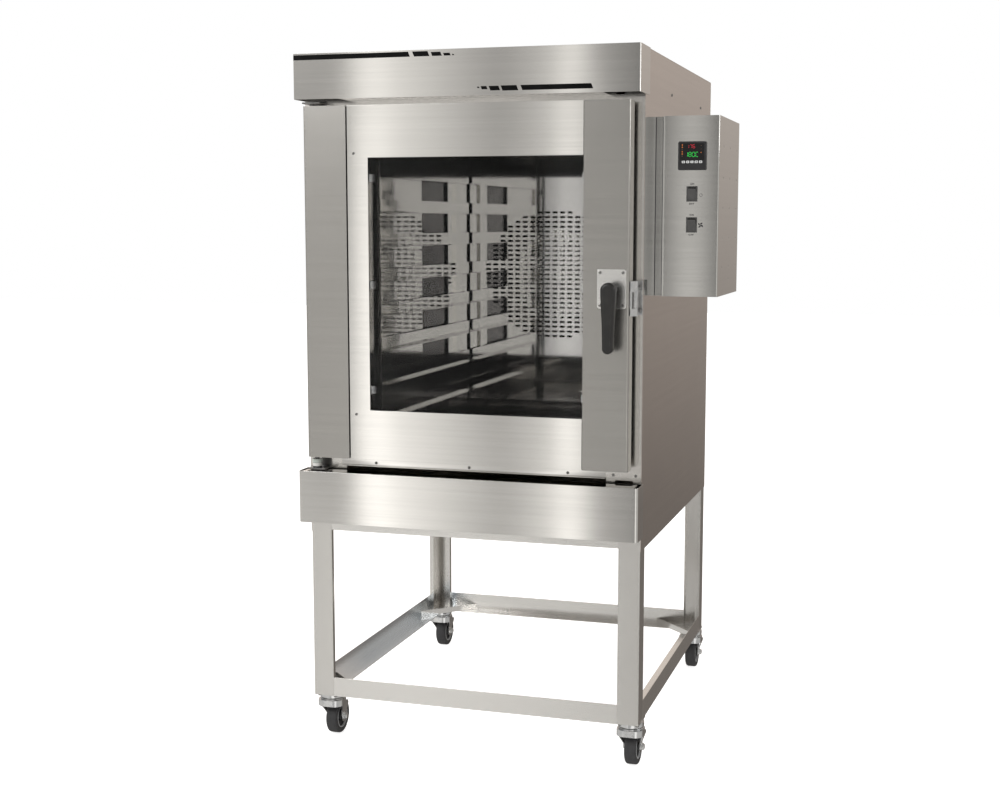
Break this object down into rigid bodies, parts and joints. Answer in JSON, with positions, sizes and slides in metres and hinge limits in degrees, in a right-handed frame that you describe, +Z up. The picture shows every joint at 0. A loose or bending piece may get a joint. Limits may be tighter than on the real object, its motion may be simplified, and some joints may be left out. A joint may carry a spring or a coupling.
{
  "type": "convection oven",
  "caption": "Upright stainless convection oven on an open wheeled stand, with a hinged glass door, a lever handle, a tray rack and a side control box.",
  "frame": {"origin": "middle of the whole part's footprint, on the floor under the wheels", "axes": "+Z up, -Y to the front, where the door is, +X to the right as seen from the front, where the control box is"},
  "size_m": [1.144, 1.204, 1.927],
  "materials": {
    "stainless": "brushed, with long vertical light and dark bands",
    "stand_steel": "brushed, light",
    "plated_steel": "zinc-plated, satin",
    "bright_steel": "bright",
    "liner_steel": "smooth, half bright",
    "wheel_plastic": "matt, dark",
    "mineral_wool": "soft, fibrous",
    "element_steel": "dark, oxidised",
    "motor_aluminium": "cast",
    "gasket_silicone": "matt",
    "window_glass": "clear",
    "lever_plastic": "satin black",
    "control_plastic": "matt black",
    "gland_plastic": "matt grey",
    "key_plastic": "pale grey"
  },
  "bodies": {
    "oven": {"stand_legs": "stand_steel", "stand_top_frame": "stand_steel", "stand_bottom_frame": "stand_steel", "corner_gussets": "stand_steel", "caster_plates": "plated_steel", "floor_pan": "stainless", "side_panel_left": "stainless", "side_panel_right": "stainless", "back_panel": "stainless", "top_panel": "stainless", "front_frame": "stainless", "header_fascia": "stainless", "lower_fascia": "stainless", "drip_strip": "stainless", "insulation": "mineral_wool", "oven_liner": "liner_steel", "rack_left": "liner_steel", "rack_right": "liner_steel", "fan_guard": "liner_steel", "heating_element": "element_steel", "temperature_probe": "bright_steel", "vent_pipe": "liner_steel", "fan_motor": "motor_aluminium", "door_gasket": "gasket_silicone", "hinge_brackets": "plated_steel", "latch_strike": "plated_steel", "control_box": "stainless", "control_front": "stainless", "controller": "control_plastic", "rocker_frames": "control_plastic", "contactor": "gland_plastic", "cable_gland": "gland_plastic", "screws": "bright_steel"},
    "door": {"door_frame": "stainless", "hinge_stile": "stainless", "handle_stile": "stainless", "window_panel": "stainless", "outer_glass": "window_glass", "inner_glass": "window_glass", "glass_clips": "plated_steel", "handle_plate": "bright_steel", "door_screws": "bright_steel"},
    "lever": {"door_lever": "lever_plastic", "latch_hook": "plated_steel"},
    "fan": {"fan_impeller": "liner_steel"},
    "rocker_upper": {"rocker_1": "control_plastic"},
    "rocker_lower": {"rocker_2": "control_plastic"},
    "key_1": {"key_1": "key_plastic"},
    "key_2": {"key_2": "key_plastic"},
    "key_3": {"key_3": "key_plastic"},
    "key_4": {"key_4": "key_plastic"},
    "key_5": {"key_5": "key_plastic"},
    "fork_fl": {"caster_fork_fl": "plated_steel"},
    "wheel_fl": {"wheel_fl": "wheel_plastic"},
    "fork_fr": {"caster_fork_fr": "plated_steel"},
    "wheel_fr": {"wheel_fr": "wheel_plastic"},
    "fork_rl": {"caster_fork_rl": "plated_steel"},
    "wheel_rl": {"wheel_rl": "wheel_plastic"},
    "fork_rr": {"caster_fork_rr": "plated_steel"},
    "wheel_rr": {"wheel_rr": "wheel_plastic"}
  },
  "joints": [
    {"name": "door_hinge", "type": "hinge", "parent": "oven", "child": "door", "pos_m": [-0.532, -0.506, 1.31], "axis": [0, 0, -1], "range_deg": [0, 160]},
    {"name": "lever_turn", "type": "hinge", "parent": "door", "child": "lever", "pos_m": [0.312, -0.541, 1.31], "axis": [0, 1, 0], "range_deg": [0, 90]},
    {"name": "fan_spin", "type": "hinge", "parent": "oven", "child": "fan", "pos_m": [-0.074, 0.393, 1.315], "axis": [0, 1, 0], "continuous": true},
    {"name": "rocker_upper_tip", "type": "hinge", "parent": "oven", "child": "rocker_upper", "pos_m": [0.5015, -0.469, 1.553], "axis": [-1, 0, 0], "range_deg": [0, 18]},
    {"name": "rocker_lower_tip", "type": "hinge", "parent": "oven", "child": "rocker_lower", "pos_m": [0.5015, -0.469, 1.4746], "axis": [-1, 0, 0], "range_deg": [0, 18]},
    {"name": "key_1_press", "type": "slide", "parent": "oven", "child": "key_1", "axis": [0, 1, 0], "range_m": [0, 0.0005], "stiffness_N_per_m": 400},
    {"name": "key_2_press", "type": "slide", "parent": "oven", "child": "key_2", "axis": [0, 1, 0], "range_m": [0, 0.0005], "stiffness_N_per_m": 400},
    {"name": "key_3_press", "type": "slide", "parent": "oven", "child": "key_3", "axis": [0, 1, 0], "range_m": [0, 0.0005], "stiffness_N_per_m": 400},
    {"name": "key_4_press", "type": "slide", "parent": "oven", "child": "key_4", "axis": [0, 1, 0], "range_m": [0, 0.0005], "stiffness_N_per_m": 400},
    {"name": "key_5_press", "type": "slide", "parent": "oven", "child": "key_5", "axis": [0, 1, 0], "range_m": [0, 0.0005], "stiffness_N_per_m": 400},
    {"name": "swivel_fl", "type": "hinge", "parent": "oven", "child": "fork_fl", "pos_m": [-0.536, -0.416, 0.116], "axis": [0, 0, 1], "continuous": true},
    {"name": "wheel_fl_spin", "type": "hinge", "parent": "fork_fl", "child": "wheel_fl", "pos_m": [-0.536, -0.383, 0.05], "axis": [1, 0, 0], "continuous": true},
    {"name": "swivel_fr", "type": "hinge", "parent": "oven", "child": "fork_fr", "pos_m": [0.346, -0.416, 0.116], "axis": [0, 0, 1], "continuous": true},
    {"name": "wheel_fr_spin", "type": "hinge", "parent": "fork_fr", "child": "wheel_fr", "pos_m": [0.346, -0.383, 0.05], "axis": [1, 0, 0], "continuous": true},
    {"name": "swivel_rl", "type": "hinge", "parent": "oven", "child": "fork_rl", "pos_m": [-0.536, 0.52, 0.116], "axis": [0, 0, 1], "continuous": true},
    {"name": "wheel_rl_spin", "type": "hinge", "parent": "fork_rl", "child": "wheel_rl", "pos_m": [-0.536, 0.553, 0.05], "axis": [1, 0, 0], "continuous": true},
    {"name": "swivel_rr", "type": "hinge", "parent": "oven", "child": "fork_rr", "pos_m": [0.346, 0.52, 0.116], "axis": [0, 0, 1], "continuous": true},
    {"name": "wheel_rr_spin", "type": "hinge", "parent": "fork_rr", "child": "wheel_rr", "pos_m": [0.346, 0.553, 0.05], "axis": [1, 0, 0], "continuous": true}
  ]
}
